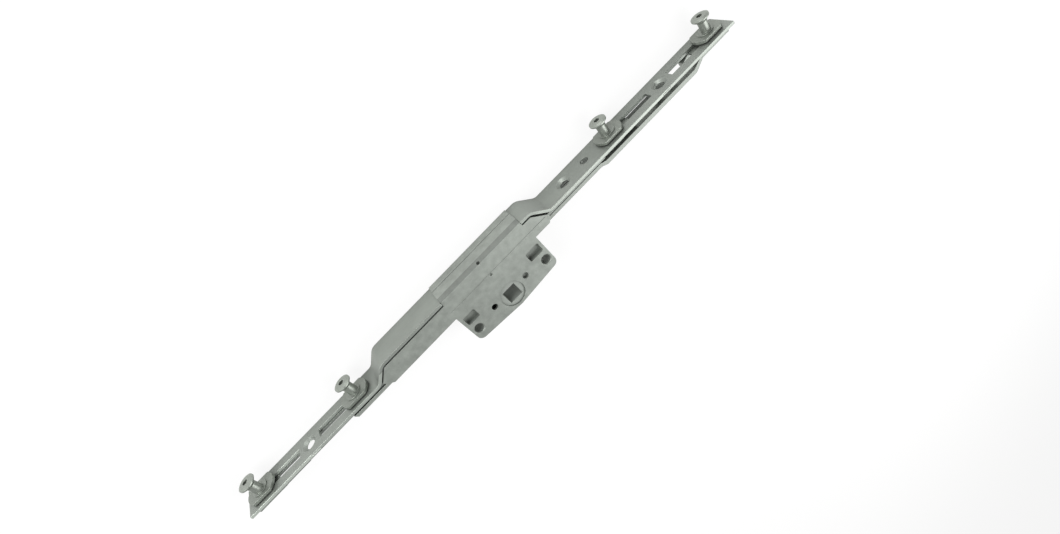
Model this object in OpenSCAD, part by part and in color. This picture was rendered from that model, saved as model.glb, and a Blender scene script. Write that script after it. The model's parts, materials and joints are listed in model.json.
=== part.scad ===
// Two-way espagnolette window lock: a square spindle turns a toothed quadrant,
// which drives one rod to the left and, through a small reversing pinion, the
// other rod to the right. Each rod carries two mushroom studs in faceplate slots.
// X runs along the lock, Y is the way the studs stand, Z is the spindle axis.
// The origin is on the spindle axis in the mid-plane of the faceplate.

/* [Gear train] */
// Module of all the teeth
tooth_m = 0.8; // [0.7:0.05:0.85]
// Teeth that the quadrant's full circle would have
gear_teeth = 29; // [27:1:30]
// Teeth of the reversing pinion
pinion_teeth = 6; // [6:1:7]
// Turn of the spindle from locked to open, degrees
turn_deg = 90; // [60:5:90]
// Pressure angle of the teeth, degrees
press_a = 25; // [23:1:26]
// Height of a tooth above its pitch line
tooth_up = 0.4; // [0.35:0.05:0.4]
// Depth of a tooth space below its pitch line
tooth_down = 0.7; // [0.6:0.05:0.8]
// Thinning of each tooth, which gives the backlash
tooth_thin = 0.08; // [0.05:0.01:0.12]
// Thickness of the quadrant
gear_t = 5.6; // [4:0.2:5.7]
// Diameter of the hub that turns in the case
hub_d = 12.2; // [11.5:0.1:12.3]
// Depth of the hub's end below the case's face
hub_sink = 0.7; // [0.1:0.1:1]
// Length of the hub behind the case's back
hub_back = 1.6; // [0:0.1:1.8]
// Width of the square hole for the handle's spindle
spindle_sq = 7.05; // [6:0.05:7.1]
// Width of the reversing pinion and of the racks that it meshes with
pinion_w = 5.8; // [4:0.2:6.4]
// Diameter of the pin that carries the pinion
pin_d = 1.6; // [1.2:0.1:1.8]
// Place of the pinion along the lock
pinion_x = -4; // [-5:0.1:-3.9]

/* [Drive rods] */
// Thickness of the outer rod and of the inner rod's raised run
rod_t = 1.7; // [1.5:0.1:1.9]
// Thickness of the inner rod beside the faceplate
rod_low_t = 1.3; // [1.2:0.1:1.5]
// Width of the rods
rod_w = 13.4; // [12.4:0.2:13.4]
// Width of the inner rod where the faceplate hides it
rod_narrow_w = 12.2; // [10:0.2:12.2]
// Width of the inner rod behind the gaps beside the case
rod_gap_w = 11; // [10:0.2:11.4]
// Width of the inner rod's tail
tail_w = 8; // [7.4:0.2:8.2]
// Strip of rod between its lower teeth and its body
rack_back = 0.4; // [0.3:0.1:0.6]
// Thickness of the outer rod's lowered run
hump_t = 2; // [1.6:0.1:2.2]
// Length of the slope at each end of the outer rod's lowered run
hump_run = 3; // [2.6:0.1:3.4]
// Length of the slope up to the outer rod's last stud
lift_run = 6; // [4.6:0.1:6.4]
// From the outer rod's rise to its last stud
lift_lead = 10.7; // [10:0.1:13.4]
// From the third stud's washer to the start of the lowered run
hump_lead = 6.9; // [3:0.1:7.2]
// Length of rod past the studs at the rods' outer ends
rod_end = 6.3; // [4.5:0.1:7]
// From a butt joint's screw to the cut in the rod beside it
cut_in = 4.5; // [3:0.1:6]
// From the outer rod's rise to the end of that cut
cut_over = 1.7; // [0:0.1:2.5]
// Length of the inner rod's cut to the left of the left joint's screw
cut_back = 4.5; // [0.5:0.1:8]
// Inner radius of the rods' bends
rod_bend = 1.5; // [1:0.1:2]

/* [Faceplate] */
// Width of the faceplate
plate_w = 16; // [15.6:0.2:18]
// Thickness of the faceplate
plate_t = 1.4; // [1.2:0.1:1.6]
// Foot of the left crank, distance from the spindle
crank_l = 68.2; // [67.5:0.1:76]
// Length of the left crank's slope
crank_l_run = 7.1; // [6.5:0.1:7.5]
// Length of the right crank's slope
crank_r_run = 8; // [7.5:0.1:8.5]
// Inner radius of the cranks' bends
crank_bend = 4.2; // [2:0.1:4.4]
// Length of the half-thickness tongue at each joint
lap = 4.6; // [3.6:0.2:5]
// From the left crank to the second pad
crank_to_2 = 11.2; // [10.8:0.1:14]
// From the right crank to the countersunk hole
crank_to_a = 13.1; // [8:0.1:16]
// From the countersunk hole to the plain hole
a_to_b = 13.5; // [9:0.1:18]
// From the plain hole to the third pad
b_to_3 = 16.1; // [12:0.1:20]
// From the second slot to the left butt joint
web_2 = 6.2; // [5.4:0.1:8]
// From the left butt joint to the first slot
web_1 = 6; // [5.4:0.1:8]
// From the third slot to the right butt joint
web_3 = 7; // [5.4:0.1:8]
// From the right butt joint to the fourth slot
web_4 = 6.3; // [5.4:0.1:8]
// From the first pad to the left end
end_l = 8.9; // [8:0.1:16]
// From the fourth pad to the right end
end_r = 9.4; // [8:0.1:16]
// Width of the stud slots
slot_w = 5.3; // [5.2:0.1:5.4]
// Diameter of the screw holes
fix_d = 4.5; // [4:0.1:4.6]
// Diameter of the screw holes' countersinks
sink_d = 7.8; // [7:0.1:8.4]
// Depth of the countersinks
sink_h = 1.1; // [0.8:0.1:1.1]
// Diameter of the plain hole
hole_b_d = 4.4; // [3.4:0.1:4.6]

/* [Studs] */
// Room beyond the first stud at the end of its stroke
over_1 = 1.28; // [0.8:0.02:1.8]
// Room beyond the second stud at the end of its stroke
over_2 = 2.68; // [0.8:0.02:2.7]
// Room beyond the third stud at the end of its stroke
over_3 = 4.58; // [0.8:0.02:4.6]
// Room beyond the fourth stud at the end of its stroke
over_4 = 3.98; // [0.8:0.02:4]
// Diameter of a pad
pad_d = 14.6; // [13:0.2:15.6]
// Width of a pad between its flats
pad_flat = 11.1; // [10:0.1:12]
// Thickness of a pad
pad_t = 1.4; // [1:0.1:1.8]
// Gap between a pad and the faceplate
pad_gap = 0.5; // [0.3:0.1:0.8]
// Offset between a stud's head and the axis that it turns on
cam = 0.75; // [0:0.05:1]
// Diameter of a stud's base
base_d = 7.8; // [7:0.1:10.4]
// Thickness of a stud's base
base_t = 0.4; // [0.3:0.1:1]
// Diameter of a stud's shank
shank_d = 4.7; // [4.6:0.1:5.8]
// Diameter of a stud's head
head_d = 8.4; // [7.6:0.1:9.4]
// Height of a stud's head above the faceplate
head_h = 9.9; // [8.6:0.1:12]
// Height of the cone under the head
head_cone = 1.6; // [1:0.1:2.2]
// Height of the head's rim
head_rim = 0.6; // [0.6:0.1:1.4]
// Width of the chamfer round the head's top
head_bevel = 1.1; // [0.6:0.1:1.3]
// Width across the flats of the hexagon socket
hex_af = 2.5; // [2:0.1:3]
// Depth of the hexagon socket
hex_depth = 2.4; // [1:0.1:3]
// Diameter of the pin that rivets a stud to its rod
tail_d = 3; // [2.4:0.1:3.2]
// Diameter of the second pad's sleeve, which passes through the inner rod
sleeve_d = 3.8; // [3.7:0.1:4.2]
// Diameter of the washers under the rods
washer_d = 5.6; // [5:0.1:6]
// Thickness of the washers
washer_t = 0.4; // [0.3:0.05:0.45]
// Height of the riveted end under a washer
rivet_h = 0.4; // [0.3:0.05:0.45]
// Diameter of the riveted end
rivet_d = 4.4; // [4:0.1:4.8]

/* [Case] */
// Distance between the two handle screws
screw_span = 43; // [43:0.5:46]
// Diameter of the handle screw holes
screw_d = 4.6; // [4:0.1:5]
// Width of the chamfer round the handle screw holes
screw_cham = 0.4; // [0.2:0.1:0.5]
// From a handle screw to the end of the case
screw_edge = 3.5; // [3.4:0.1:5]
// Depth of the deep box behind the mid-plane
deep_back_z = 1.7; // [1.6:0.1:2.4]
// Thickness of the deep box's end and bottom walls
case_wall = 1.2; // [1:0.05:1.25]
// Thickness of the side walls along the rods
side_wall = 0.7; // [0.5:0.05:0.7]
// Thickness of the deep box's back plate and floor
back_wall = 1.5; // [1.2:0.1:1.5]
// Slope of the case's bottom, degrees
low_slope = 4.5; // [2:0.5:7]
// Radius of the case's bottom corners
corner_r = 3; // [2:0.1:3]
// From a handle screw to the peg that locates the case's halves
peg_in = 4.5; // [4.2:0.1:4.8]
// From the end of the case to the end of the bridge
bridge_in = 0.8; // [0.6:0.1:1.4]
// Height of the bridge above the faceplates
bridge_up = 0.8; // [0.4:0.1:1.2]
// Width of the slope along the bridge's front edge
band_w = 2.8; // [2:0.1:5]
// Drop of the slope along the bridge's front edge
band_drop = 1.1; // [0.4:0.1:1.3]
// From the left crank to the end of the case's lower edge
wing_l_in = 5.3; // [5:0.1:8]
// From the right crank to the end of the case's lower edge
wing_r_in = 4.2; // [4:0.1:7]
// Rise of the slanted corners at the case's ends
wing_rise = 1.9; // [1.2:0.1:2.2]
// Run of the slanted corners at the case's ends
wing_cut = 2.1; // [1.4:0.1:2.3]
// Seam between the case's halves, distance behind the mid-plane
seam_z = 2.5; // [2:0.1:3]
// Width of the seam's groove on the bridge
seam_w = 0.45; // [0.2:0.05:0.6]
// Depth of the seam
seam_deep = 0.8; // [0.3:0.1:1.2]
// Lower edge of the windows
window_y = 4.8; // [4.4:0.1:5.5]
// Strip of wall above the windows
window_rim = 1.2; // [0.5:0.1:1.6]
// Inner edge of the left window, distance from the spindle
window_l = 16.7; // [15.2:0.1:18]
// Inner edge of the right window, distance from the spindle
window_r = 15.9; // [15.2:0.1:18]
// Wall between a window and the end of the case
window_edge = 1.5; // [1.4:0.1:3]
// Radius of the windows' corners
window_r0 = 0.7; // [0.4:0.1:1]
// Depth of the windows
window_deep = 3; // [2:0.1:4]
// Thickness of the windows' floor
window_floor = 0.8; // [0.6:0.1:1.2]
// Diameter of the small holes in the front wall
peep_d = 3.1; // [2:0.1:3.4]
// Place of the small holes along the lock
peep_x = 9.8; // [9:0.1:12]
// Height of the small holes above the spindle
peep_y = 2.05; // [1:0.05:3]
// Diameter of the marking dimple on the bridge
top_mark_d = 1.7; // [0.8:0.1:2]
// Diameter of the marking dimple on the front face
face_mark_d = 1.4; // [0.8:0.1:2]
// Width of the scribed line on the front face
line_w = 0.25; // [0.15:0.05:0.4]
// Depth of the scribed line on the front face
line_deep = 0.1; // [0.05:0.05:0.25]

/* [Clearances] */
// Running clearance of a pin in its bore
run_c = 0.05; // [0.03:0.01:0.08]
// Gap beside the rods in the case
side_gap = 0.1; // [0.08:0.01:0.15]
// Gap between the lower faceplate and the inner rod
plate_gap = 0.15; // [0.1:0.01:0.3]
// Gap between the raised faceplate and the inner rod
raise_gap = 0.2; // [0.1:0.01:0.3]
// Gap between the two rods
rod_gap = 0.25; // [0.15:0.01:0.4]
// Gap between faces that slide or turn on each other
face_c = 0.02; // [0.01:0.01:0.05]
// Gap between a stud's neck and its slot's end
end_gap = 0.5; // [0.3:0.05:0.8]
// Gap under the outer rod
floor_gap = 0.1; // [0.05:0.01:0.2]
// Gap round a screw or neck in a rod's slot
slot_c = 0.2; // [0.2:0.05:0.45]
// Gap between the left crank and the case
crank_gap_l = 0.7; // [0.5:0.05:0.9]
// Gap between the right crank and the case
crank_gap_r = 1.2; // [0.6:0.05:1.4]
// Gap between the raised faceplate and the top of the side walls
strip_gap = 1; // [0.1:0.05:1.1]
// Gap between the riveted studs and the outer rod
rivet_gap = 0.43; // [0.3:0.01:0.6]
// Gap between the outer rod's last tooth and the inner rod's slope
riser_gap = 1.19; // [0.3:0.01:1.4]
// Gap between the inner rod's slopes and the cranks at the end of the stroke
stop_gap = 0.5; // [0.4:0.05:0.7]
// Gap round the neck of a pad in its slot
neck_c = 0.15; // [0.1:0.01:0.2]
// Gap between the quadrant and the case, in front and behind
gear_c = 0.3; // [0.2:0.05:0.4]
// Gap between stationary pieces that lie together
lie_c = 0.05; // [0.02:0.01:0.1]

/* [Hidden] */
$fn = 48;
eps = 0.01;

// Teeth
pitch = PI * tooth_m;
gear_r = gear_teeth * tooth_m / 2;
pinion_r = pinion_teeth * tooth_m / 2;
travel = gear_r * turn_deg * PI / 180;
reach_teeth = ceil(travel / pitch);

// Heights, from the spindle towards the studs
outer_y0 = gear_r + tooth_down + rack_back;
outer_y1 = outer_y0 + rod_t;
pinion_y = outer_y1 + tooth_down + pinion_r;
up_y0 = pinion_y + pinion_r + tooth_down;
up_y1 = up_y0 + rod_t;
raise_y0 = up_y1 + raise_gap;
raise_y1 = raise_y0 + plate_t;
low_y0 = outer_y1 + rod_gap;
low_y1 = low_y0 + rod_low_t;
plate_y0 = low_y1 + plate_gap;
plate_y1 = plate_y0 + plate_t;
hump_y1 = low_y0 - washer_t - face_c - rivet_h - rivet_gap;
hump_y0 = hump_y1 - hump_t;
bridge_y = raise_y1 + bridge_up;
pad_y0 = plate_y1 + pad_gap;
pad_y1 = pad_y0 + pad_t;
head_y = plate_y1 + head_h;
floor_y = outer_y0 - floor_gap;
floor_y0 = floor_y - back_wall;
wing_y = floor_y - 0.2;

// A bend's inner and outer corners lie this far apart along the sheet
function bend_shift(t, h, run) = t * tan(atan2(h, run) / 2);
crank_h = raise_y0 - plate_y0;
bend_l = bend_shift(plate_t, crank_h, crank_l_run);
bend_r = bend_shift(plate_t, crank_h, crank_r_run);

// Case
case_half = screw_span / 2 + screw_edge;
bridge_half = case_half - bridge_in;
rod_z = rod_w / 2;
side_z = rod_z + side_gap;
face_z = side_z + side_wall;
deep_y0 = -deep_back_z + back_wall;
gear_z0 = deep_y0 + gear_c;
deep_in_z = gear_z0 + gear_t + gear_c;
rim_y = gear_r - tooth_up - 0.2;
window_y1 = rim_y - window_rim;
hub_r = hub_d / 2;
case_low = hub_r + case_wall + 0.15;
boss_r = screw_edge - 0.1;
peg_x = screw_span / 2 - peg_in;
peg_y = -2.6;
peg_r = 0.9;
tongue_x = 2.5;
tongue_w = 10;
line_y = plate_y0 + 0.2;

// The left arm, from the spindle outwards: pads, slots as from and to, the joint and the end
fix_r = fix_d / 2;
neck_d = slot_w - 2 * neck_c;
neck_r = neck_d / 2;
pad_2 = -crank_l - crank_to_2;
slot_2 = [pad_2 - travel - neck_r - over_2, pad_2 + neck_r + end_gap];
joint_l = web_2 - slot_2[0];
pad_1 = -joint_l - web_1 - over_1 - neck_r - travel;
slot_1 = [pad_1 - neck_r - end_gap, pad_1 + travel + neck_r + over_1];
left_end = pad_1 - end_l;

// The inner rod's right slope clears the outer rod's last tooth, and the crank clears the slope
tip_y = outer_y1 + tooth_down + tooth_up;
rack_end = pinion_x - pitch / 2 + reach_teeth * pitch + pitch / 4 + tooth_down * tan(press_a);
rise_run = crank_r_run - 0.1;
rise_t = bend_shift(rod_t, up_y0 - low_y0, rise_run);
rise_r = rack_end + riser_gap + rise_t - (up_y0 - tip_y) / (up_y0 - low_y0) * rise_run;
crank_r = rise_r + travel + stop_gap + bend_r + crank_r_run;

// The right arm, from the spindle outwards
hole_a = crank_r + crank_to_a;
hole_b = hole_a + a_to_b;
pad_3 = hole_b + b_to_3;
slot_3 = [pad_3 - neck_r - end_gap, pad_3 + travel + neck_r + over_3];
joint_r = slot_3[1] + web_3;
pad_4 = joint_r + web_4 + over_4 + neck_r + travel;
slot_4 = [pad_4 - travel - neck_r - over_4, pad_4 + neck_r + end_gap];
right_end = pad_4 + end_r;

// Rods: the inner one's left slope stays clear of the crank, the outer one rises to its last stud
inner_left = pad_1 - rod_end;
rise_l = -crank_l + crank_l_run + stop_gap + 0.2;
outer_left = pad_2 - rod_end;
outer_right = pad_4 + rod_end;
hump_x0 = pad_3 - washer_d / 2 - hump_lead;
lift_x = pad_4 - lift_lead;
hump_x1 = lift_x - lift_run;
tail_x = joint_r - fix_r - slot_c - travel;

function involute(a) = tan(a) - a * PI / 180;
function half_deg(z, r) =
    let (rp = z * tooth_m / 2, rb = rp * cos(press_a), a = acos(min(1, rb / r)))
    (((pitch / 2 - tooth_thin) / (2 * rp)) + involute(press_a) - involute(a)) * 180 / PI;
function tooth_side(z, s) =
    let (rp = z * tooth_m / 2, r0 = rp - tooth_down - 0.15, r1 = rp + tooth_up)
    [for (i = [0:6]) let (r = r0 + (r1 - r0) * i / 6, a = half_deg(z, r)) [s * r * sin(a), r * cos(a)]];
function reversed(p) = [for (i = [len(p) - 1:-1:0]) p[i]];

// The arc of radius r that rounds the corner b between the points a and c, in n steps
function arc_at(a, b, c, r, n = 10) =
    let (
        u = (a - b) / norm(a - b), v = (c - b) / norm(c - b), half = acos(u * v) / 2,
        mid = b + (u + v) / norm(u + v) * r / sin(half), from = b + u * r / tan(half) - mid,
        turn = (cross(u, v) > 0 ? -1 : 1) * (180 - 2 * half), start = atan2(from[1], from[0])
    )
    [for (i = [0:n]) mid + r * [cos(start + turn * i / n), sin(start + turn * i / n)]];

// An outline whose corners are rounded, each by its own radius, where 0 leaves it sharp
function rounded(p, radii) = [
    for (i = [0:len(p) - 1])
        each radii[i] > 0
            ? arc_at(p[(i + len(p) - 1) % len(p)], p[i], p[(i + 1) % len(p)], radii[i])
            : [p[i]]
];

// One gear tooth that points along +Y
module gear_tooth(z) {
    polygon(concat(tooth_side(z, 1), reversed(tooth_side(z, -1))));
}

// A row of rack teeth that point along +Y from the pitch line, the first at x0
module rack(x0, count) {
    half = (pitch / 2 - tooth_thin) / 2;
    top = half - tooth_up * tan(press_a);
    foot = half + tooth_down * tan(press_a);
    root = -tooth_down - eps;
    for (i = [0:count - 1]) {
        translate([x0 + i * pitch, 0])
            polygon([[-foot, root], [foot, root], [top, tooth_up], [-top, tooth_up]]);
    }
}

// A solid with an outline in XY, from z0 to z1
module slab(z0, z1) {
    translate([0, 0, z0]) linear_extrude(z1 - z0) children();
}

// A solid with an outline in XZ, from y0 to y1
module plank(y0, y1) {
    translate([0, y1, 0]) rotate([90, 0, 0]) linear_extrude(y1 - y0) children();
}

module box(x, y, z) {
    translate([x[0], y[0], z[0]]) cube([x[1] - x[0], y[1] - y[0], z[1] - z[0]]);
}

// A round hole or pin along Y
module post(x, y0, y1, d, z = 0) {
    translate([x, y0, z]) rotate([-90, 0, 0]) cylinder(h = y1 - y0, d = d);
}

// A slot with square ends through the thickness of the faceplate
module plate_slot(s) {
    box(s, [plate_y0 - 1, plate_y1 + 1], [-slot_w / 2, slot_w / 2]);
}

module screw_hole(x) {
    post(x, plate_y0 - 1, plate_y1 + 1, fix_d);
    translate([x, plate_y1 - sink_h, 0])
        rotate([-90, 0, 0])
        cylinder(h = sink_h + eps, d1 = fix_d, d2 = sink_d + eps);
}

module end_plate(from, to, joint, s) {
    difference() {
        union() {
            box([from, to], [plate_y0, plate_y1], [-plate_w / 2, plate_w / 2]);
            box(s > 0 ? [joint - 2 * lie_c, joint + lap] : [joint - lap, joint + 2 * lie_c],
                [plate_y0, plate_y0 + plate_t / 2 - lie_c / 2],
                [-plate_w / 2, plate_w / 2]);
        }
        children();
    }
}

module end_plate_left() {
    color([0.62, 0.63, 0.6])
        end_plate(left_end, -joint_l - lie_c, -joint_l, 1) {
            union() {
                plate_slot(slot_1);
                screw_hole(-joint_l);
            }
        }
}

module end_plate_right() {
    color([0.62, 0.63, 0.6])
        end_plate(joint_r + lie_c, right_end, joint_r, -1) {
            union() {
                plate_slot(slot_4);
                screw_hole(joint_r);
            }
        }
}

module main_plate_left() {
    foot = -crank_l;
    head = -crank_l + crank_l_run;
    out = crank_bend + plate_t;
    color([0.62, 0.63, 0.6])
        difference() {
            union() {
                slab(-plate_w / 2, plate_w / 2)
                    polygon(rounded([
                        [-joint_l, plate_y0], [foot + bend_l, plate_y0], [head + bend_l, raise_y0],
                        [-bridge_half - lie_c, raise_y0], [-bridge_half - lie_c, raise_y1],
                        [head, raise_y1], [foot, plate_y1], [-joint_l, plate_y1]
                    ], [0, out, crank_bend, 0, 0, out, crank_bend, 0]));
                box([-bridge_half - 1, -bridge_half + tongue_x], [raise_y0, raise_y0 + plate_t / 2],
                    [-tongue_w / 2, tongue_w / 2]);
            }
            box([-joint_l - 1, -joint_l + lap + lie_c],
                [plate_y0 - 1, plate_y0 + plate_t / 2 + lie_c / 2],
                [-plate_w, plate_w]);
            plate_slot(slot_2);
            screw_hole(-joint_l);
        }
}

module main_plate_right() {
    foot = crank_r;
    head = crank_r - crank_r_run;
    out = crank_bend + plate_t;
    color([0.7, 0.71, 0.69])
        difference() {
            union() {
                slab(-plate_w / 2, plate_w / 2)
                    polygon(rounded([
                        [joint_r, plate_y0], [joint_r, plate_y1], [foot, plate_y1], [head, raise_y1],
                        [bridge_half + lie_c, raise_y1], [bridge_half + lie_c, raise_y0],
                        [head - bend_r, raise_y0], [foot - bend_r, plate_y0]
                    ], [0, 0, crank_bend, out, 0, 0, crank_bend, out]));
                box([bridge_half - tongue_x, bridge_half + 1], [raise_y0, raise_y0 + plate_t / 2],
                    [-tongue_w / 2, tongue_w / 2]);
            }
            box([joint_r - lap - lie_c, joint_r + 1],
                [plate_y0 - 1, plate_y0 + plate_t / 2 + lie_c / 2],
                [-plate_w, plate_w]);
            plate_slot(slot_3);
            screw_hole(joint_r);
            screw_hole(hole_a);
            post(hole_b, plate_y0 - 1, plate_y1 + 1, hole_b_d);
        }
}

// The deep box's outline, drawn in by w
module deep_outline(w, top) {
    r = corner_r - w;
    cx = case_half - corner_r;
    tx = cx + r * sin(low_slope);
    low = -case_low + w / cos(low_slope);
    ty = low + tx * tan(low_slope);
    cy = ty + r * cos(low_slope);
    polygon([
        [-case_half + w, top], [-case_half + w, cy], [-tx, ty], [0, low],
        [tx, ty], [case_half - w, cy], [case_half - w, top]
    ]);
    for (s = [-1, 1]) {
        translate([s * cx, cy]) circle(r);
    }
}

// The side wall's outline: two wings whose ends follow the cranks, and the bridge
module wing_outline(low) {
    al = atan2(crank_h, crank_l_run);
    ar = atan2(crank_h, crank_r_run);
    top = raise_y0 - strip_gap;
    lx0 = -crank_l + bend_l + crank_gap_l / sin(al);
    rx0 = crank_r - bend_r - crank_gap_r / sin(ar);
    wing_l = crank_l - wing_l_in;
    wing_r = crank_r - wing_r_in;
    polygon([
        [-wing_l, wing_y], [-case_half, wing_y], [-case_half, low], [case_half, low],
        [case_half, wing_y], [wing_r, wing_y], [wing_r + wing_cut, wing_y + wing_rise],
        [rx0, plate_y0],
        [rx0 - (top - plate_y0) / tan(ar), top], [bridge_half, top],
        [bridge_half, bridge_y], [-bridge_half, bridge_y], [-bridge_half, top],
        [lx0 + (top - plate_y0) / tan(al), top], [lx0, plate_y0],
        [-wing_l - wing_cut, wing_y + wing_rise]
    ]);
}

module case_front() {
    color([0.64, 0.65, 0.63])
        difference() {
            union() {
                slab(side_z, face_z) wing_outline(wing_y);
                box([-bridge_half, bridge_half], [raise_y0, bridge_y], [-seam_z, face_z]);
                difference() {
                    slab(deep_y0, face_z) deep_outline(0, floor_y);
                    slab(deep_y0 - 1, deep_in_z) deep_outline(case_wall, floor_y + 1);
                    box([-case_half - 1, case_half + 1], [rim_y, floor_y + 1], [deep_y0 - 1, deep_in_z]);
                }
                for (s = [-1, 1]) {
                    translate([s * screw_span / 2, 0, deep_y0])
                        cylinder(h = deep_in_z - deep_y0 + eps, r = boss_r);
                    translate([s * peg_x, peg_y, deep_y0])
                        cylinder(h = deep_in_z - deep_y0 + eps, r = peg_r + 1);
                }
                box([-case_half + eps, -window_l + 1], [window_y - 1, rim_y],
                    [face_z - window_deep - window_floor, face_z - eps]);
                box([window_r - 1, case_half - eps], [window_y - 1, rim_y],
                    [face_z - window_deep - window_floor, face_z - eps]);
                translate([pinion_x, pinion_y, pinion_w / 2 + side_gap])
                    cylinder(h = side_z - pinion_w / 2 - side_gap + eps, d = pin_d + 2);
            }
            for (s = [-1, 1]) {
                translate([s * screw_span / 2, 0, deep_y0 - 1])
                    cylinder(h = face_z - deep_y0 + 2, d = screw_d);
                translate([s * screw_span / 2, 0, face_z - screw_cham])
                    cylinder(h = 2 * screw_cham, d1 = screw_d, d2 = screw_d + 4 * screw_cham);
                translate([s * peg_x, peg_y, deep_y0 - 1])
                    cylinder(h = 3.2, r = peg_r + lie_c);
                translate([s * peep_x, peep_y, deep_in_z - 1])
                    cylinder(h = face_z - deep_in_z + 2, d = peep_d);
                box(s > 0 ? [bridge_half - tongue_x - lie_c, bridge_half + 1]
                          : [-bridge_half - 1, -bridge_half + tongue_x + lie_c],
                    [raise_y0 - 1, raise_y0 + plate_t / 2 + lie_c],
                    [-tongue_w / 2 - lie_c, tongue_w / 2 + lie_c]);
            }
            for (x = [[-case_half + window_edge, -window_l], [window_r, case_half - window_edge]]) {
                slab(face_z - window_deep, face_z + 1)
                    translate([x[0] + window_r0, window_y + window_r0])
                    offset(r = window_r0)
                    square([x[1] - x[0] - 2 * window_r0, window_y1 - window_y - 2 * window_r0]);
            }
            translate([0, 0, deep_in_z - 1])
                cylinder(h = face_z - deep_in_z + 2, r = hub_r + run_c, $fn = 72);
            translate([pinion_x, pinion_y, pinion_w / 2])
                cylinder(h = side_z - pinion_w / 2 + lie_c, d = pin_d + 2 * lie_c);
            box([-bridge_half - 1, bridge_half + 1], [bridge_y - seam_deep, bridge_y + 1],
                [-seam_z - 1, -seam_z + seam_w / 2]);
            translate([-bridge_half - 1, bridge_y - band_drop, face_z])
                rotate([0, 90, 0])
                linear_extrude(2 * bridge_half + 2)
                polygon([
                    [0, 0], [band_w, band_drop], [band_w, band_drop + 1], [-1, band_drop + 1], [-1, 0]
                ]);
            post(-0.7, bridge_y - band_drop - 1, bridge_y + 1, top_mark_d, face_z - 0.9);
            box([-case_half, crank_r - wing_r_in], [line_y, line_y + line_w],
                [face_z - line_deep, face_z + 1]);
            translate([-0.4, line_y - face_mark_d / 2, face_z - 0.6])
                cylinder(h = 1, d = face_mark_d);
        }
}

module case_back() {
    color([0.6, 0.61, 0.59])
        difference() {
            union() {
                slab(-face_z, -side_z) wing_outline(floor_y0);
                box([-bridge_half, bridge_half], [raise_y0, bridge_y], [-face_z, -seam_z]);
                box([-case_half, case_half], [floor_y0, floor_y], [-face_z, deep_y0]);
                slab(-deep_back_z, deep_y0) deep_outline(0, floor_y);
                translate([pinion_x, pinion_y, -side_z - eps])
                    cylinder(h = side_z - pinion_w / 2 - side_gap + eps, d = pin_d + 2);
                for (s = [-1, 1]) {
                    translate([s * peg_x, peg_y, deep_y0 - eps]) cylinder(h = 1.8, r = peg_r);
                }
            }
            for (s = [-1, 1]) {
                translate([s * screw_span / 2, 0, -deep_back_z - 1])
                    cylinder(h = back_wall + 2, d = screw_d);
                box(s > 0 ? [bridge_half - tongue_x - lie_c, bridge_half + 1]
                          : [-bridge_half - 1, -bridge_half + tongue_x + lie_c],
                    [raise_y0 - 1, raise_y0 + plate_t / 2 + lie_c],
                    [-tongue_w / 2 - lie_c, tongue_w / 2 + lie_c]);
            }
            translate([0, 0, -deep_back_z - 1]) cylinder(h = back_wall + 2, r = hub_r + run_c, $fn = 72);
            translate([pinion_x, pinion_y, -side_z - lie_c])
                cylinder(h = side_z - pinion_w / 2 + lie_c, d = pin_d + 2 * lie_c);
            box([-bridge_half - 1, bridge_half + 1], [bridge_y - seam_deep, bridge_y + 1],
                [-seam_z - seam_w / 2, -seam_z + 1]);
        }
}

module spindle_gear() {
    root = gear_r - tooth_down;
    half_sq = spindle_sq / 2;
    hub_z = deep_back_z + hub_back;
    step = 360 / gear_teeth;
    last = ceil(turn_deg / step);
    a0 = -step * 1.5;
    a1 = step * (last + 0.5);
    color([0.55, 0.55, 0.53])
        difference() {
            union() {
                slab(gear_z0, gear_z0 + gear_t) {
                    intersection() {
                        circle(root, $fn = 72);
                        polygon(concat([[0, 0]], [
                            for (i = [0:6])
                                let (a = a0 + (a1 - a0) * i / 6) [2 * root * sin(a), 2 * root * cos(a)]
                        ]));
                    }
                    for (k = [-1:last]) {
                        rotate(-k * step) gear_tooth(gear_teeth);
                    }
                }
                translate([0, 0, -hub_z])
                    cylinder(h = face_z + hub_z - hub_sink, r = hub_r, $fn = 72);
            }
            box([-half_sq, half_sq], [-half_sq, half_sq], [-hub_z - 1, face_z + 1]);
        }
}

module reversing_pinion() {
    color([0.72, 0.68, 0.55])
        translate([pinion_x, pinion_y, 0])
        difference() {
            slab(-pinion_w / 2, pinion_w / 2) {
                circle(pinion_r - tooth_down);
                for (k = [0:pinion_teeth - 1]) {
                    rotate(180 + k * 360 / pinion_teeth) gear_tooth(pinion_teeth);
                }
            }
            translate([0, 0, -pinion_w]) cylinder(h = 2 * pinion_w, d = pin_d + 2 * run_c);
        }
}

module pinion_pin() {
    color([0.75, 0.75, 0.74])
        translate([pinion_x, pinion_y, -side_z])
        cylinder(h = 2 * side_z, d = pin_d);
}

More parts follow.
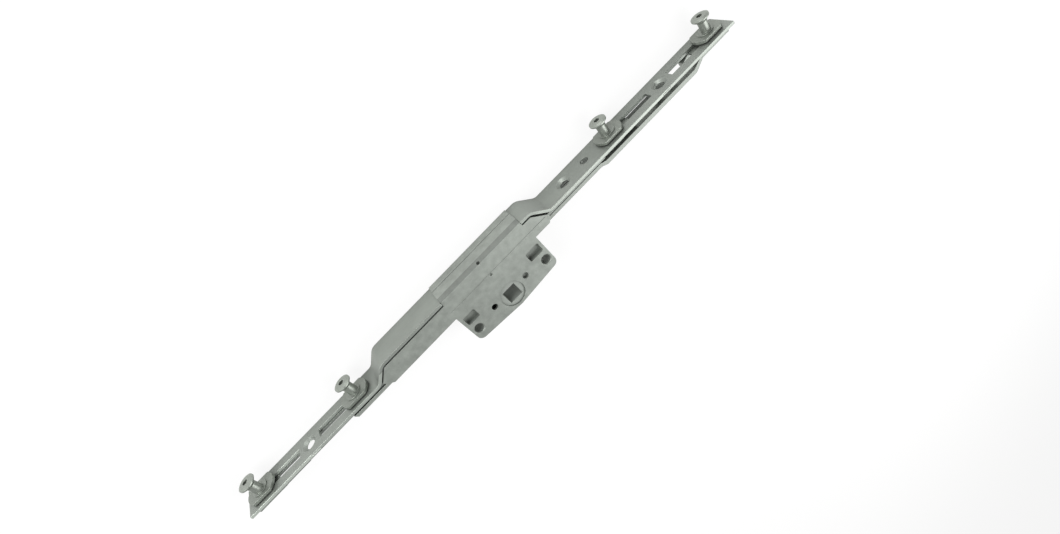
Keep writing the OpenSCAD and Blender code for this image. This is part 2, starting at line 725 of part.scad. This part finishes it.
// The inner rod moves to the right: it carries the first and the third stud
module drive_rod_inner() {
    run_l = crank_l_run - 0.1;
    low_l = bend_shift(rod_low_t, up_y1 - low_y1, run_l);
    top_l = bend_shift(rod_t, up_y1 - low_y1, run_l);
    low_r = bend_shift(rod_low_t, up_y1 - low_y1, rise_run);
    low_out = rod_bend + rod_low_t;
    top_out = rod_bend + rod_t;
    nz = rod_narrow_w / 2;
    gz = rod_gap_w / 2;
    tz = tail_w / 2;
    sleeve_z = sleeve_d / 2 + slot_c;
    end_wide = pad_3 - washer_d / 2 - hump_lead;
    mid_z = (rod_z + nz) / 2;
    wide_r = rise_r + rise_run + rod_bend;
    top_phase = (pinion_teeth % 2 == 0) ? 0.5 : 0;
    teeth_to = pinion_x + pitch * top_phase;
    color([0.68, 0.69, 0.68])
        difference() {
            union() {
                intersection() {
                    slab(-rod_z, rod_z)
                        polygon(rounded([
                            [inner_left, low_y0], [rise_l + low_l, low_y0], [rise_l + run_l + top_l, up_y0],
                            [rise_r - rise_t, up_y0], [rise_r + rise_run - low_r, low_y0], [tail_x, low_y0],
                            [tail_x, low_y1], [rise_r + rise_run, low_y1], [rise_r, up_y1],
                            [rise_l + run_l, up_y1], [rise_l, low_y1], [inner_left, low_y1]
                        ], [
                            0, low_out, rod_bend, rod_bend, low_out, 0,
                            0, rod_bend, top_out, top_out, rod_bend, 0
                        ]));
                    plank(low_y0 - 1, up_y1 + 1)
                        polygon([
                            [inner_left, -rod_z + 1], [inner_left + 1, -rod_z], [-joint_l - 3, -rod_z],
                            [-joint_l - 3, -nz], [rise_l, -nz], [rise_l, -gz],
                            [-bridge_half, -gz], [-bridge_half, -rod_z], [rise_r, -rod_z], [rise_r, -gz],
                            [wide_r, -gz], [wide_r, -rod_z], [end_wide, -rod_z],
                            [end_wide + 1, -nz], [tail_x - 9, -nz], [tail_x - 6, -tz],
                            [tail_x, -tz], [tail_x, tz], [tail_x - 6, tz], [tail_x - 9, nz],
                            [end_wide + 1, nz], [end_wide, rod_z], [wide_r, rod_z], [wide_r, gz],
                            [rise_r, gz], [rise_r, rod_z], [-bridge_half, rod_z], [-bridge_half, gz],
                            [rise_l, gz], [rise_l, nz], [-joint_l - 3, nz], [-joint_l - 3, mid_z],
                            [-joint_l - 17, mid_z], [-joint_l - 17, rod_z], [inner_left + 1, rod_z],
                            [inner_left, rod_z - 1]
                        ]);
                }
                slab(-pinion_w / 2, pinion_w / 2)
                    translate([0, pinion_y + pinion_r])
                    mirror([0, 1])
                    rack(teeth_to - reach_teeth * pitch, reach_teeth + 1);
            }
            box([-joint_l - fix_r - slot_c - travel, -joint_l + fix_r + slot_c],
                [low_y0 - 1, low_y1 + 1], [-fix_r - slot_c, fix_r + slot_c]);
            box([pad_2 - 2 * travel - sleeve_z, pad_2 + sleeve_z],
                [low_y0 - 1, low_y1 + 1], [-sleeve_z, sleeve_z]);
            box([-joint_l - cut_back, -joint_l + cut_in], [low_y0 - 1, low_y1 + 1], [-rod_z - 1, 0]);
            box([hole_a - fix_r - slot_c - travel, hole_b + fix_r + slot_c],
                [low_y0 - 1, low_y1 + 1], [-fix_r - slot_c, fix_r + slot_c]);
            post(pad_1, low_y0 - 1, low_y1 + 1, tail_d + 2 * run_c);
            post(pad_3, low_y0 - 1, low_y1 + 1, tail_d + 2 * run_c);
        }
}

// The outer rod moves to the left: it carries the second and the fourth stud
module drive_rod_outer() {
    gap_z = fix_r + slot_c;
    drop = outer_y1 - hump_y1;
    climb = low_y1 - hump_y1;
    foot = hump_x0 - hump_run;
    foot_in = bend_shift(rod_t, drop, hump_run);
    hump_in = bend_shift(hump_t, drop, hump_run);
    lift_in = bend_shift(hump_t, climb, lift_run);
    top_in = bend_shift(rod_low_t, climb, lift_run);
    color([0.68, 0.69, 0.68])
        difference() {
            union() {
                slab(-rod_z, rod_z)
                    polygon(rounded([
                        [outer_left + 1.2, outer_y0], [foot - foot_in, outer_y0],
                        [hump_x0 - hump_in, hump_y0], [hump_x1 + lift_in, hump_y0],
                        [lift_x + top_in, low_y0], [outer_right, low_y0],
                        [outer_right, low_y1], [lift_x, low_y1], [hump_x1, hump_y1],
                        [hump_x0, hump_y1], [foot, outer_y1], [outer_left, outer_y1]
                    ], [
                        0, rod_bend, rod_bend + hump_t, rod_bend + hump_t, rod_bend, 0,
                        0, rod_bend + rod_low_t, rod_bend, rod_bend, rod_bend + rod_t, 0
                    ]));
                slab(gear_z0, gear_z0 + gear_t) {
                    translate([0, gear_r])
                        mirror([0, 1])
                        rack(-1.5 * pitch, reach_teeth + 3);
                    translate([-1.5 * pitch - 1, gear_r + tooth_down])
                        square([(reach_teeth + 2) * pitch + 2, rack_back + eps]);
                }
                slab(-pinion_w / 2, pinion_w / 2)
                    translate([0, outer_y1 + tooth_down])
                    rack(pinion_x - pitch / 2, reach_teeth + 1);
            }
            box([hole_a - fix_r - slot_c, hole_b + fix_r + slot_c + travel],
                [hump_y0 - 1, outer_y1 + 1], [-gap_z, gap_z]);
            box([joint_r - fix_r - slot_c, joint_r + fix_r + slot_c + travel],
                [hump_y0 - 1, low_y1 + 1], [-gap_z, gap_z]);
            box([joint_r + cut_in, hump_x1 + cut_over], [hump_y0 - 1, low_y1 + 1], [-rod_z - 1, 0]);
            post(pad_2, outer_y0 - 1, outer_y1 + 1, tail_d + 2 * run_c);
            post(pad_4, low_y0 - 1, low_y1 + 1, tail_d + 2 * run_c);
        }
}

// A pad: a flat-sided disc over the faceplate with a neck, and a sleeve if its rod lies deeper
module stud_pad(x, rod_y) {
    neck_y = max(rod_y, low_y1 + (rod_y < low_y1 ? face_c : 0));
    color([0.6, 0.61, 0.58])
        translate([x, 0, 0])
        difference() {
            union() {
                intersection() {
                    post(0, pad_y0, pad_y1, pad_d);
                    box([-pad_d, pad_d], [pad_y0 - 1, pad_y1 + 1], [-pad_flat / 2, pad_flat / 2]);
                }
                post(0, neck_y, pad_y0 + eps, neck_d);
                post(0, rod_y, pad_y0 + eps, sleeve_d);
            }
            post(0, rod_y - 1, pad_y1 + 1, tail_d + 2 * run_c);
        }
}

module stud_pad_1() stud_pad(pad_1, low_y1);
module stud_pad_2() stud_pad(pad_2, outer_y1);
module stud_pad_3() stud_pad(pad_3, low_y1);
module stud_pad_4() stud_pad(pad_4, low_y1);

// A stud: its base turns on the axis of the riveted pin, its shank and head stand off it by cam
module stud(x, turn, under_y) {
    r = head_d / 2;
    y0 = pad_y1 + face_c;
    rim0 = head_y - head_bevel / 2 - head_rim;
    off = cam * [cos(turn), 0, sin(turn)];
    color([0.7, 0.71, 0.68])
        translate([x, 0, 0])
        difference() {
            union() {
                translate(off)
                    rotate([-90, 0, 0])
                    rotate_extrude()
                    polygon([
                        [0, y0], [shank_d / 2, y0], [shank_d / 2, rim0 - head_cone], [r, rim0],
                        [r, rim0 + head_rim], [r - head_bevel, head_y], [0, head_y]
                    ]);
                post(0, y0, y0 + base_t, base_d);
                post(0, under_y - washer_t - face_c - rivet_h, y0 + eps, tail_d);
                post(0, under_y - washer_t - face_c - rivet_h, under_y - washer_t - face_c, rivet_d);
            }
            translate(off + [0, head_y - hex_depth, 0])
                rotate([-90, 0, 0])
                cylinder(h = hex_depth + 1, d = hex_af / cos(30), $fn = 6);
        }
}

module stud_1() stud(pad_1, 90, low_y0);
module stud_2() stud(pad_2, 0, outer_y0);
module stud_3() stud(pad_3, 180, low_y0);
module stud_4() stud(pad_4, 45, low_y0);

module washer(x, under_y) {
    color([0.6, 0.6, 0.58])
        difference() {
            post(x, under_y - washer_t, under_y, washer_d);
            post(x, under_y - washer_t - 1, under_y + 1, tail_d + 2 * run_c);
        }
}

module stud_washers_inner() {
    washer(pad_1, low_y0);
    washer(pad_3, low_y0);
}

module stud_washers_outer() {
    washer(pad_2, outer_y0);
    washer(pad_4, low_y0);
}

end_plate_left();
end_plate_right();
main_plate_left();
main_plate_right();
case_front();
case_back();
spindle_gear();
reversing_pinion();
pinion_pin();
drive_rod_inner();
drive_rod_outer();
stud_pad_1();
stud_pad_2();
stud_pad_3();
stud_pad_4();
stud_1();
stud_2();
stud_3();
stud_4();
stud_washers_inner();
stud_washers_outer();
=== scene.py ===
# %% [markdown]
# A window espagnolette is a flat gearbox under a long steel faceplate. The turning and
# sliding pieces come in as exact solids, so this file only adds finishes, fine pieces, a
# floor, light and a camera. Lengths on the real lock are in millimetres, and Blender's are
# in metres, so one factor is kept for that.

# %% Load the solids
import json
import math

import bpy
import numpy as np
from mathutils import Matrix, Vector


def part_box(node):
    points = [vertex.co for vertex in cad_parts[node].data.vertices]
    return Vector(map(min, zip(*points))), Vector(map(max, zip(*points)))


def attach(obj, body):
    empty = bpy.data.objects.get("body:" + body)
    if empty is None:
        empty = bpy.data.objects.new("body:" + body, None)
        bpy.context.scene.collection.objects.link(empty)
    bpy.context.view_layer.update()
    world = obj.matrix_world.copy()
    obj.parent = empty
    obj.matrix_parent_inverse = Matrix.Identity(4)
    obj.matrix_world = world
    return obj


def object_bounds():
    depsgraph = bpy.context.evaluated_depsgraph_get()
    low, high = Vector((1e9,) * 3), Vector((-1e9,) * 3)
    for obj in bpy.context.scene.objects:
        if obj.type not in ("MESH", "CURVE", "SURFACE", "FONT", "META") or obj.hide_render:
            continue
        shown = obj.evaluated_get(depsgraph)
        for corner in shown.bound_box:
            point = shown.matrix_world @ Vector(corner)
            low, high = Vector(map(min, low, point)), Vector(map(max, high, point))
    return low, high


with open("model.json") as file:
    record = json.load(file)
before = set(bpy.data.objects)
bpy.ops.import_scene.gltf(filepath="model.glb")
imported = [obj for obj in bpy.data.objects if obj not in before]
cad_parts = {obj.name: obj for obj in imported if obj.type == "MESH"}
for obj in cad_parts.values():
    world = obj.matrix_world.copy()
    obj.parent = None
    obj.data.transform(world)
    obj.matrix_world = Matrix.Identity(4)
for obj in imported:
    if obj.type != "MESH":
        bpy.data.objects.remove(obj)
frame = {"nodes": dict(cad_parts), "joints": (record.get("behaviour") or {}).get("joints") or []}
nodes = frame["nodes"]
solid_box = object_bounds()
mm = 0.001
print("solids:", len(nodes), "box in mm:", [round(v / mm, 1) for c in solid_box for v in c])

# %% [markdown]
# The photograph looks down on the case from above the studs, with the lock running from
# the lower left to the upper right. The three directions of the camera were solved from
# points on the lock, and a camera in Blender looks along its own -Z with +Y up, so the
# directions are put into a matrix as columns.

# %% The camera
photo_width = 1060
focal_pixels = 603.15
sensor_width = 36.0


def standing(x_axis, y_axis, z_axis, at):
    """A matrix that puts an object at a point, with its own axes along three directions."""
    return Matrix([[x_axis[i], y_axis[i], z_axis[i], at[i]] for i in range(3)] + [[0, 0, 0, 1]])


def put_in_scene(name, data):
    """An object of this name and data, linked to the scene."""
    thing = bpy.data.objects.new(name, data)
    bpy.context.scene.collection.objects.link(thing)
    return thing


right = np.array([0.6958, -0.5783, 0.4259])
down = np.array([-0.7177, -0.5816, 0.3828])
forward = np.cross(right, down)
place = np.array([6.80, 157.59, 228.23]) * mm
camera = put_in_scene("camera", bpy.data.cameras.new("camera"))
camera.matrix_world = standing(right, -down, -forward, place)
camera.data.sensor_width = sensor_width
camera.data.lens = focal_pixels / photo_width * sensor_width
camera.data.clip_start, camera.data.clip_end = 0.005, 20.0
bpy.context.scene.camera = camera
print("camera", [round(v, 3) for v in place], "lens", round(camera.data.lens, 2))

# %% [markdown]
# Finishes are sums of masks and noises. Wrapping a socket in a small class lets them be
# written as sums: each +, * or < adds a Math node. Every other node comes from one method,
# which sets the node's own choices first and then its inputs.

# %% Shader maths
class Value:
    """A socket that can be added, multiplied and compared as a number can."""

    def __init__(self, sheet, socket):
        self.sheet, self.socket = sheet, socket

    def _with(self, operation, a, b):
        return self.sheet.add("ShaderNodeMath", {"operation": operation}, {0: a, 1: b})

    def sibling(self, output):
        """Another output of the node that this socket belongs to."""
        return Value(self.sheet, self.socket.node.outputs[output])

    def __add__(self, other): return self._with("ADD", self, other)
    def __radd__(self, other): return self._with("ADD", other, self)
    def __sub__(self, other): return self._with("SUBTRACT", self, other)
    def __rsub__(self, other): return self._with("SUBTRACT", other, self)
    def __mul__(self, other): return self._with("MULTIPLY", self, other)
    def __rmul__(self, other): return self._with("MULTIPLY", other, self)
    def __gt__(self, other): return self._with("GREATER_THAN", self, other)
    def __lt__(self, other): return self._with("LESS_THAN", self, other)


class Sheet:
    """The node sheet of one material."""

    def __init__(self, name):
        self.material = bpy.data.materials.new(name)
        self.material.use_nodes = True
        self.tree = self.material.node_tree
        self.tree.nodes.clear()
        self.end = self.tree.nodes.new("ShaderNodeOutputMaterial")

    def add(self, kind, settings=None, inputs=None, out=0):
        """A node of any type: its settings first, then values or links for its sockets."""
        node = self.tree.nodes.new(kind)
        for key, value in (settings or {}).items():
            setattr(node, key, value)
        for key, value in (inputs or {}).items():
            if isinstance(value, Value):
                self.tree.links.new(value.socket, node.inputs[key])
            else:
                node.inputs[key].default_value = value
        return Value(self, node.outputs[out])

    def noise(self, where, scale, detail, roughness):
        """Soft random clouds: the larger the scale, the finer they are."""
        return self.add("ShaderNodeTexNoise", {}, {
            "Vector": where, "Scale": scale, "Detail": detail, "Roughness": roughness})

    def show(self, shader):
        """The finished material, with this shader on its surface."""
        self.tree.links.new(shader.socket, self.end.inputs["Surface"])
        return self.material


def axes(sheet, where):
    """The three coordinates of a place, in metres."""
    x = sheet.add("ShaderNodeSeparateXYZ", {}, {0: where})
    return x, x.sibling("Y"), x.sibling("Z")


print("shader maths ready")

# %% [markdown]
# All of the lock is zinc on steel or zinc castings: a satin grey with a green cast. Four
# things make it look like plated metal: fine cloudy blotches of the plating, a rolling
# grain that is drawn out along the strip, tiny pits, and edges that are rubbed brighter.
# The edges come from comparing the surface's normal with a rounded one, which also gives
# each sharp edge the small radius that catches the light.

# %% Plated and cast zinc
patch_scale, line_scale, speck_scale = 33.0, 1900.0, 2600.0
middle = 0.5  # the mean of a noise
line_shade = 0.16  # share of the tone that the rolling grain changes
rub_from, rub_to = 0.995, 0.80  # cosines between the normals where rubbing starts and is full
crevice = 2.2 * mm  # painted shade darkens where something stands closer than this
bump_strength, bump_height, cloud_height = 0.35, 0.03 * mm, 0.25
cloud_gloss, speck_gloss, rubbed_gloss = 0.14, 0.08, 0.1
across_square = 0.8  # an edge faces along Z where the square of its normal's Z is above this
cut_below = 21 * mm  # the low arms and the rods lie below this height
raised_above = 21.5 * mm  # the raised strips lie above this one
# Painted highlight on the edges of the raised strips left of the spindle
raised_gain = 0.15
band_y, band_z = 22.8 * mm, (4.65 * mm, 7.45 * mm)
band_dark = 0.4
rod_flat = 6.6 * mm  # half the width of the rods' tops that takes the painted shade
left_arm_x, right_holes_x = -60 * mm, (40 * mm, 70 * mm)
left_arm_dark, right_holes_dark = 0.3, 0.6


def linear(colour):
    """A colour given on the 0 to 255 scale of a picture, as light."""
    shares = [c / 255 for c in colour]
    return tuple(v / 12.92 if v <= 0.04045 else ((v + 0.055) / 1.055) ** 2.4 for v in shares)


def light_on_cuts(sheet, shade, normal, where, cut):
    """The strips' sheared edges face along Z and mirror another part of the room than the
    rolled faces do: cut is their painted gain in light, left and right of the spindle, and
    the raised strips' edges left of the spindle get a painted highlight of raised_gain more."""
    across = sheet.add("ShaderNodeSeparateXYZ", {}, {0: normal}, out="Z")
    x, y, _ = axes(sheet, where)
    edge_side = across * across > across_square
    left_gain, right_gain = cut
    low_edge = edge_side * (y < cut_below)
    shade = shade * (1 + low_edge * (left_gain + (x > 0) * (right_gain - left_gain)))
    return shade * (1 + edge_side * (y > raised_above) * (x < 0) * raised_gain)


def zinc(name, colour, rough=0.42, metal=0.75, grain=(1.0, 1.0, 1.0), grain_depth=0.1,
         blotch=0.12, pits=0.1, edge=0.2, radius=0.25, crevice_shade=0.2, mottle=140.0, cut=None,
         darken=None):
    """Satin zinc: grain stretches the fine noise, pits and grain_depth are bump strengths,
    mottle is the scale of the cloudy blotches, cut is the painted gain in light on the
    sheared edges, and darken(sheet, place) paints a part darker."""
    s = Sheet(name)
    where = s.add("ShaderNodeTexCoord", out="Object")
    cloud = s.noise(where, mottle, 5.0, 0.6)
    patch = s.noise(where, patch_scale, 2.0, 0.5)
    drawn = s.add("ShaderNodeMapping", {}, {"Vector": where, "Scale": grain})
    line = s.noise(drawn, line_scale, 3.0, 0.65)
    speck = s.noise(where, speck_scale, 2.0, 0.7)
    rounded = s.add("ShaderNodeBevel", {"samples": 6}, {"Radius": radius * mm})
    normal = s.add("ShaderNodeNewGeometry", out="Normal")
    facing = s.add("ShaderNodeVectorMath", {"operation": "DOT_PRODUCT"}, {0: rounded, 1: normal},
                   out="Value")
    rubbed = s.add("ShaderNodeMapRange", {"clamp": True}, {
        0: facing, 1: rub_from, 2: rub_to, 3: 0.0, 4: 1.0})
    open_share = s.add("ShaderNodeAmbientOcclusion", {"samples": 6}, {"Distance": crevice},
                       out="AO")
    shade = 1 + (cloud - middle) * (2 * blotch) + (patch - middle) * (1.4 * blotch)
    shade = shade + (line - middle) * line_shade + rubbed * edge
    if cut:
        shade = light_on_cuts(s, shade, normal, where, cut)
    # A part painted darker: painted shade on the rods' tops, a darker band on the bridge
    if darken:
        shade = shade * darken(s, where)
    # Painted shade: a point with other surfaces close round it is darkened, since less light falls
    # into crevices
    shade = shade * ((1 - crevice_shade) + open_share * crevice_shade)
    grey = s.add("ShaderNodeCombineColor", {}, {0: shade, 1: shade, 2: shade})
    tint = s.add("ShaderNodeMix", {"data_type": "RGBA", "blend_type": "MULTIPLY"},
                 {0: 1.0, 6: (*linear(colour), 1), 7: grey}, out=2)
    height = line * grain_depth + speck * pits + cloud * cloud_height
    bump = s.add("ShaderNodeBump", {}, {
        "Strength": bump_strength, "Distance": bump_height, "Height": height, "Normal": rounded})
    gloss = rough + (cloud - middle) * cloud_gloss + (speck - middle) * speck_gloss
    gloss = gloss - rubbed * rubbed_gloss
    return s.show(s.add("ShaderNodeBsdfPrincipled", {}, {
        "Base Color": tint, "Metallic": metal, "Roughness": gloss, "Normal": bump}))


def band_darkening(s, where):
    """The slope along the bridge's front edge is painted darker."""
    _, y, z = axes(s, where)
    return 1 - (y > band_y) * (z > band_z[0]) * (z < band_z[1]) * band_dark


def slot_shade(s, where):
    """Painted shade: the rods' flat tops, lying in the plates' shade, are darker in the left arm's
    slots and under the two right holes.
    """
    x, _, z = axes(s, where)
    flat_top = (z < rod_flat) * (z > -rod_flat)
    under_holes = (x > right_holes_x[0]) * (x < right_holes_x[1])
    return 1 - flat_top * ((x < left_arm_x) * left_arm_dark + under_holes * right_holes_dark)


rolled = {"grain": (0.06, 1.0, 1.0), "grain_depth": 0.5}
# The end and main strips are one rolled zinc, with a slightly different tone and painted light of
# different strength on their sheared edges
end_strip = zinc("rolled_end_strip", (140, 145, 139), cut=(1.2, -0.03), **rolled)
main_strip = zinc("rolled_main_strip", (138, 143, 137), cut=(0.7, 0.1), **rolled)
casting = zinc("zinc_casting", (133, 138, 132), rough=0.46, metal=0.4, pits=0.5, blotch=0.34,
               crevice_shade=0.15, mottle=300.0, darken=band_darkening)
rod_steel = zinc("rod_strip", (138, 143, 137), cut=(0.45, -0.24), darken=slot_shade, **rolled)
turned = zinc("turned_stud", (143, 148, 141), rough=0.4, grain_depth=0.15, blotch=0.08, radius=0.2)
pad_metal = zinc("stud_pad_casting", (138, 143, 136), rough=0.45, pits=0.4)
gear_steel = zinc("gear_steel", (140, 145, 139), rough=0.5, metal=0.4, pits=0.5, crevice_shade=0.1)
pin_steel = zinc("bright_pin", (170, 172, 168), rough=0.3, blotch=0.05)
print("finishes:", len(bpy.data.materials))

# %% Which finish goes on which solid
stud_numbers = range(1, 5)
finish = {
    "end_plate_left": end_strip, "main_plate_left": main_strip, "main_plate_right": main_strip,
    "end_plate_right": end_strip, "case_front": casting, "case_back": casting,
    "spindle_gear": gear_steel, "reversing_pinion": gear_steel, "pinion_pin": pin_steel,
    "drive_rod_inner": rod_steel, "drive_rod_outer": rod_steel,
    "stud_washers_inner": pin_steel, "stud_washers_outer": pin_steel,
}
for number in stud_numbers:
    finish[f"stud_{number}"] = turned
    finish[f"stud_pad_{number}"] = pad_metal
for name, node in nodes.items():
    node.data.materials.clear()
    node.data.materials.append(finish[name])
print("dressed:", sorted(finish) == sorted(nodes))

# %% [markdown]
# Each stud's pin is riveted over a washer under its rod, so its end isn't flat: the tool
# leaves a low dome. A dome could be a cut sphere, but a profile turned round an axis gives
# the flatter curve of a hammered head, and a ring of points per step keeps it light.

# %% Riveted heads
rivet_radius, rivet_rise = 2.05, 0.2
rivet_rings, rivet_around = 7, 40
rivet_tip_angle = 0.12  # where the rings stop, just short of the tip
rivet_seat = 0.02  # the middle of the base reaches this far into the pin


def turned_grid(profile, around):
    """Points of a profile (radius, height) turned round Y: x = r cos a, y = h, z = r sin a."""
    angle = np.linspace(0, 2 * math.pi, around, endpoint=False)
    radius, height = profile[:, :1], profile[:, 1:]
    grid = np.stack([radius * np.cos(angle), height + 0 * angle, radius * np.sin(angle)], axis=-1)
    return grid.reshape(-1, 3)


def rivet_head(name, body, x, y):
    """A low dome under the pin: r = R sin t and h = -H cos t, with t from a right angle at
    the rim nearly to 0 at the tip. Two more points close its base and its tip."""
    rings, around = rivet_rings, rivet_around
    t = np.linspace(math.pi / 2, rivet_tip_angle, rings)
    profile = np.column_stack([rivet_radius * np.sin(t), -rivet_rise * np.cos(t)])
    seat, tip = np.array([[0.0, rivet_seat, 0.0]]), np.array([[0.0, -rivet_rise, 0.0]])
    points = np.vstack([turned_grid(profile, around), seat, tip]) * mm + np.array([x, y, 0.0])
    a = np.arange(around)
    b = (a + 1) % around
    step = np.arange(rings - 1)[:, None] * around
    walls = np.stack([step + a, step + b, step + around + b, step + around + a], axis=-1)
    base_fan = np.column_stack([b, a, np.full(around, rings * around)])
    rim = (rings - 1) * around
    tip_fan = np.column_stack([rim + a, rim + b, np.full(around, rings * around + 1)])
    mesh = bpy.data.meshes.new(name)
    mesh.from_pydata(points.tolist(), [],
                     walls.reshape(-1, 4).tolist() + base_fan.tolist() + tip_fan.tolist())
    mesh.shade_smooth()
    mesh.materials.append(pin_steel)
    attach(put_in_scene(name, mesh), body)


turn_at = {joint["name"]: joint["pos_m"] for joint in frame["joints"] if "pos_m" in joint}
for number in stud_numbers:
    low_corner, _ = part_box(f"stud_{number}")
    rivet_head(f"rivet_head_{number}", f"cam_{number}", turn_at[f"stud_{number}_turn"][0],
               low_corner[1])

# %% [markdown]
# The lock lies on its back on a pale table. The table is seen almost white by the camera
# and by the metal, which mirrors it, but it still receives the lock's soft shadow: most
# of what is seen is its own even light, and the rest is the light that falls on it.

# %% The floor
floor_gap = 0.05 * mm
floor_half = 3.0
floor_share, mirror_share = 0.86, 0.35  # of even light, seen directly and in mirrors
low = solid_box[0][2] - floor_gap


def pale_floor():
    """A matt surface that is mostly its own light to the camera, and less so in mirrors."""
    s = Sheet("pale_floor")
    seen = s.add("ShaderNodeLightPath", out="Is Camera Ray")
    mirrored = seen.sibling("Is Glossy Ray")
    share = seen * floor_share + mirrored * mirror_share
    matt = s.add("ShaderNodeBsdfDiffuse", {}, {"Color": (0.86, 0.86, 0.85, 1)})
    even = s.add("ShaderNodeEmission", {}, {"Color": (1, 1, 1, 1), "Strength": 1.0})
    return s.show(s.add("ShaderNodeMixShader", {}, {0: share, 1: matt, 2: even}))


corners = [(x * floor_half, y * floor_half, low) for x, y in ((-1, -1), (1, -1), (1, 1), (-1, 1))]
floor_mesh = bpy.data.meshes.new("floor")
floor_mesh.from_pydata(corners, [], [(0, 1, 2, 3)])
floor = put_in_scene("floor", floor_mesh)
floor.data.materials.append(pale_floor())
print("floor at", round(low / mm, 2), "mm")

# %% [markdown]
# Small metal parts are photographed in a tent of light: a broad even glow, a large soft
# lamp on one side that makes the long edges shine, and two weaker ones opposite and
# beyond the studs.

# %% Light
tent_glow = 0.42
backdrop = 1.0


def soft_lamp(name, at, aim, size, power):
    """A square soft lamp at a point, turned towards another point, both in millimetres."""
    lamp = bpy.data.lights.new(name, "AREA")
    lamp.shape, lamp.size, lamp.energy = "SQUARE", size * mm, power
    back = np.array(at, float) - np.array(aim, float)
    back = back / np.linalg.norm(back)
    side = np.cross([0.0, 0.3, 1.0], back)
    side = side / np.linalg.norm(side)
    obj = put_in_scene(name, lamp)
    obj.matrix_world = standing(side, np.cross(back, side), back, [v * mm for v in at])
    return obj


lamps = [
    soft_lamp("key", (290, -210, 390), (20, 5, 0), 480, 2.6),
    soft_lamp("fill", (-360, 290, 300), (0, 10, 0), 420, 2.6),
    soft_lamp("rim", (60, 420, 60), (0, 15, 0), 260, 0.9),
]
world = bpy.data.worlds.new("tent")
bpy.context.scene.world = world
world.use_nodes = True
sky = world.node_tree
sky.nodes.clear()
ray = sky.nodes.new("ShaderNodeLightPath")
mix = sky.nodes.new("ShaderNodeMix")
mix.data_type = "FLOAT"
mix.inputs[2].default_value, mix.inputs[3].default_value = tent_glow, backdrop
glow = sky.nodes.new("ShaderNodeBackground")
glow.inputs["Color"].default_value = (1, 1, 1, 1)
out = sky.nodes.new("ShaderNodeOutputWorld")
sky.links.new(ray.outputs["Is Camera Ray"], mix.inputs[0])
sky.links.new(mix.outputs[0], glow.inputs["Strength"])
sky.links.new(glow.outputs[0], out.inputs["Surface"])
bpy.context.scene.view_settings.view_transform = "Standard"
print("lamps:", [lamp.name for lamp in lamps])
